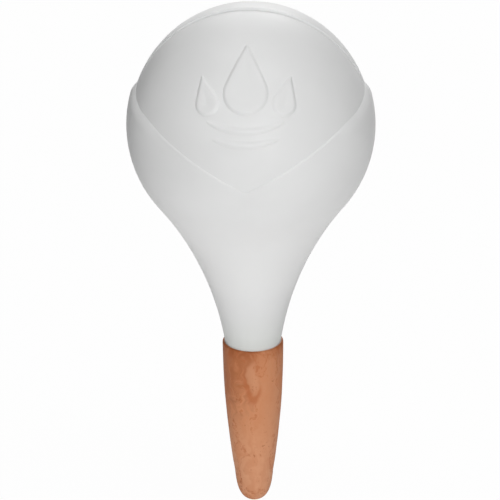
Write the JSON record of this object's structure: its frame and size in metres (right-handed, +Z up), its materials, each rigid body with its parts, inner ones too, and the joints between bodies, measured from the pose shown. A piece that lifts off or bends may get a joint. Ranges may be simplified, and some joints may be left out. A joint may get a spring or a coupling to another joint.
{
  "type": "plant watering globe",
  "caption": "Hollow plastic watering globe with a flared neck that plugs into a porous clay spike and feeds water slowly to a plant's roots.",
  "frame": {"origin": "on the axis, at the level of the clay spike's lip, which is the soil line", "axes": "+Z up along the axis, from the spike to the globe; one point of the collar's V looks towards -Y and the other towards +Y"},
  "size_m": [0.0918, 0.0904, 0.2008],
  "materials": {
    "frosted_plastic": "frosted satin",
    "black_rubber": "matt",
    "terracotta": "unglazed, smoothed"
  },
  "bodies": {
    "spike": {"clay_spike": "terracotta"},
    "seal": {"seal_ring": "black_rubber"},
    "globe": {"reservoir_globe": "frosted_plastic"}
  },
  "joints": [
    {"name": "lift_off", "type": "slide", "parent": "spike", "child": "seal", "axis": [0, 0, 1], "range_m": [0, 0.045]},
    {"name": "twist", "type": "hinge", "parent": "seal", "child": "globe", "pos_m": [0, 0, 0], "axis": [0, 0, 1], "continuous": true}
  ]
}
